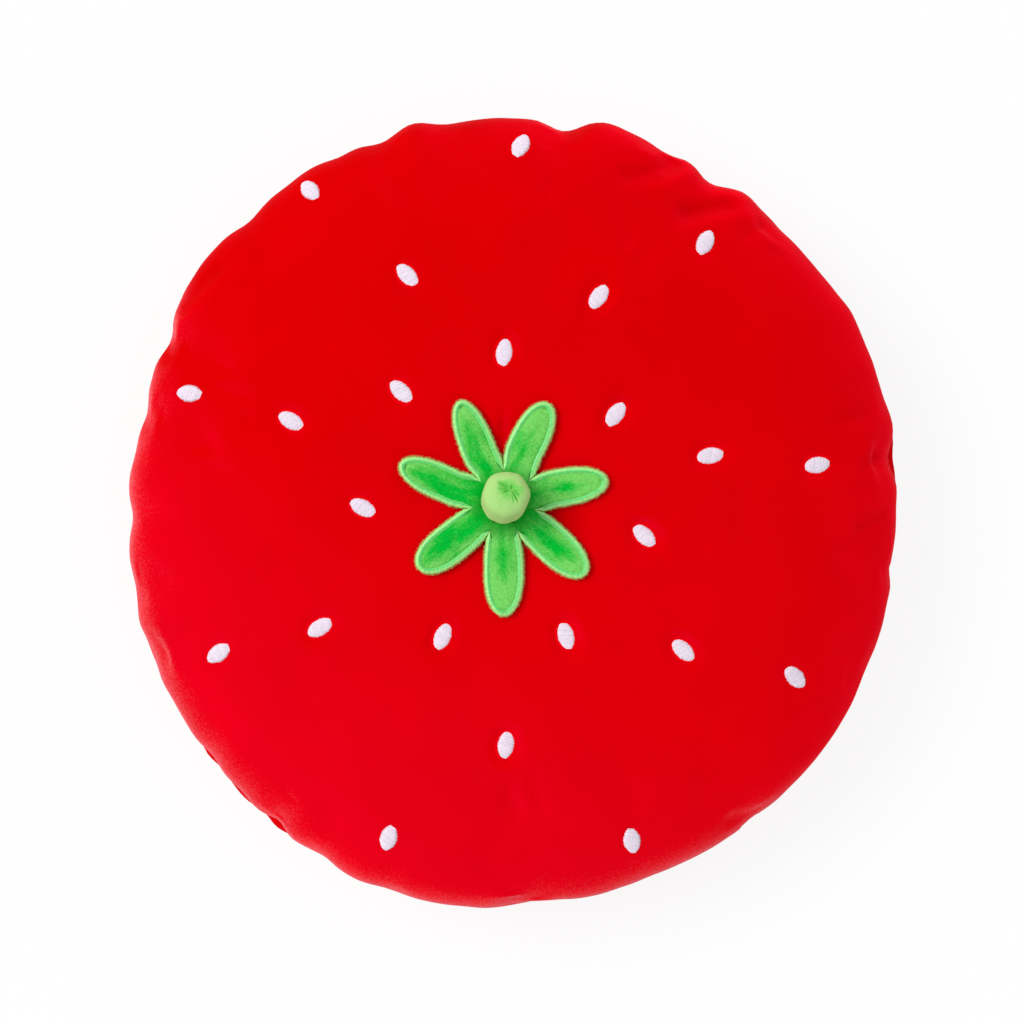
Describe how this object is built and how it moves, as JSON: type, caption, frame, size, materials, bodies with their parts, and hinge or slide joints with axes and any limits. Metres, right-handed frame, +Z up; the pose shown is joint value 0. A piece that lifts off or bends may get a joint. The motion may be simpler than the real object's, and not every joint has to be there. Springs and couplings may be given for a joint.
{
  "type": "plush cushion",
  "caption": "Round stuffed velvet cushion got up as a strawberry, with embroidered seeds, a lobed plush calyx and a soft stem, to lean on or to decorate a seat.",
  "frame": {"origin": "middle of the cushion's outline, on the surface it rests on", "axes": "+Z up, from the back panel to the front; +Y towards the top of the cushion's picture side; +X to its right"},
  "size_m": [0.3834, 0.3952, 0.1468],
  "materials": {
    "red_velvet": "matte",
    "red_thread": "matte",
    "polyester_fibre": "matte",
    "seed_thread": "satin",
    "leaf_plush": "matte",
    "leaf_backing": "matte",
    "leaf_border_thread": "satin",
    "stem_velvet": "matte"
  },
  "bodies": {
    "cushion": {"front_panel": "red_velvet", "back_panel": "red_velvet", "fibre_filling": "polyester_fibre", "rim_seam_thread": "red_thread", "closing_stitch": "red_thread", "seed_01": "seed_thread", "seed_02": "seed_thread", "seed_03": "seed_thread", "seed_04": "seed_thread", "seed_05": "seed_thread", "seed_06": "seed_thread", "seed_07": "seed_thread", "seed_08": "seed_thread", "seed_09": "seed_thread", "seed_10": "seed_thread", "seed_11": "seed_thread", "seed_12": "seed_thread", "seed_13": "seed_thread", "seed_14": "seed_thread", "seed_15": "seed_thread", "seed_16": "seed_thread", "seed_17": "seed_thread", "seed_18": "seed_thread", "seed_19": "seed_thread", "seed_20": "seed_thread", "seed_21": "seed_thread", "seed_22": "seed_thread", "seed_23": "seed_thread", "calyx_hub_backing": "leaf_backing", "calyx_hub_plush": "leaf_plush", "calyx_seat_stitch": "leaf_backing"},
    "leaf_1": {"leaf_1_plush": "leaf_plush", "leaf_1_backing": "leaf_backing", "leaf_1_border": "leaf_border_thread"},
    "leaf_2": {"leaf_2_plush": "leaf_plush", "leaf_2_backing": "leaf_backing", "leaf_2_border": "leaf_border_thread"},
    "leaf_3": {"leaf_3_plush": "leaf_plush", "leaf_3_backing": "leaf_backing", "leaf_3_border": "leaf_border_thread"},
    "leaf_4": {"leaf_4_plush": "leaf_plush", "leaf_4_backing": "leaf_backing", "leaf_4_border": "leaf_border_thread"},
    "leaf_5": {"leaf_5_plush": "leaf_plush", "leaf_5_backing": "leaf_backing", "leaf_5_border": "leaf_border_thread"},
    "leaf_6": {"leaf_6_plush": "leaf_plush", "leaf_6_backing": "leaf_backing", "leaf_6_border": "leaf_border_thread"},
    "leaf_7": {"leaf_7_plush": "leaf_plush", "leaf_7_backing": "leaf_backing", "leaf_7_border": "leaf_border_thread"},
    "stem_tack": {"stem_tack_stitch": "stem_velvet"},
    "stem": {"stem_cover": "stem_velvet", "stem_filling": "polyester_fibre", "stem_gather_thread": "stem_velvet"}
  },
  "joints": [
    {"name": "leaf_1_lift", "type": "hinge", "parent": "cushion", "child": "leaf_1", "pos_m": [0.01549, 0.0095, 0.1143], "axis": [0.225, -0.9744, 0], "range_deg": [0, 70], "stiffness_Nm_per_rad": 0.00015},
    {"name": "leaf_2_lift", "type": "hinge", "parent": "cushion", "child": "leaf_2", "pos_m": [0.00381, 0.02341, 0.1143], "axis": [0.9205, -0.3907, 0], "range_deg": [0, 70], "stiffness_Nm_per_rad": 0.00015},
    {"name": "leaf_3_lift", "type": "hinge", "parent": "cushion", "child": "leaf_3", "pos_m": [-0.01245, 0.02313, 0.1143], "axis": [0.9063, 0.4226, 0], "range_deg": [0, 70], "stiffness_Nm_per_rad": 0.00015},
    {"name": "leaf_4_lift", "type": "hinge", "parent": "cushion", "child": "leaf_4", "pos_m": [-0.02302, 0.01118, 0.1143], "axis": [0.309, 0.9511, 0], "range_deg": [0, 70], "stiffness_Nm_per_rad": 0.00015},
    {"name": "leaf_5_lift", "type": "hinge", "parent": "cushion", "child": "leaf_5", "pos_m": [-0.01976, -0.00731, 0.1143], "axis": [-0.6157, 0.788, 0], "range_deg": [0, 70], "stiffness_Nm_per_rad": 0.00015},
    {"name": "leaf_6_lift", "type": "hinge", "parent": "cushion", "child": "leaf_6", "pos_m": [-0.004, -0.015, 0.1143], "axis": [-1, 0, 0], "range_deg": [0, 70], "stiffness_Nm_per_rad": 0.00015},
    {"name": "leaf_7_lift", "type": "hinge", "parent": "cushion", "child": "leaf_7", "pos_m": [0.01109, -0.00812, 0.1143], "axis": [-0.6561, -0.7547, 0], "range_deg": [0, 70], "stiffness_Nm_per_rad": 0.00015},
    {"name": "stem_sway", "type": "hinge", "parent": "cushion", "child": "stem_tack", "pos_m": [-0.004, 0.005, 0.12675], "axis": [0, 1, 0], "range_deg": [-18, 18], "stiffness_Nm_per_rad": 0.004},
    {"name": "stem_nod", "type": "hinge", "parent": "stem_tack", "child": "stem", "pos_m": [-0.004, 0.005, 0.12675], "axis": [1, 0, 0], "range_deg": [-18, 18], "stiffness_Nm_per_rad": 0.004}
  ]
}
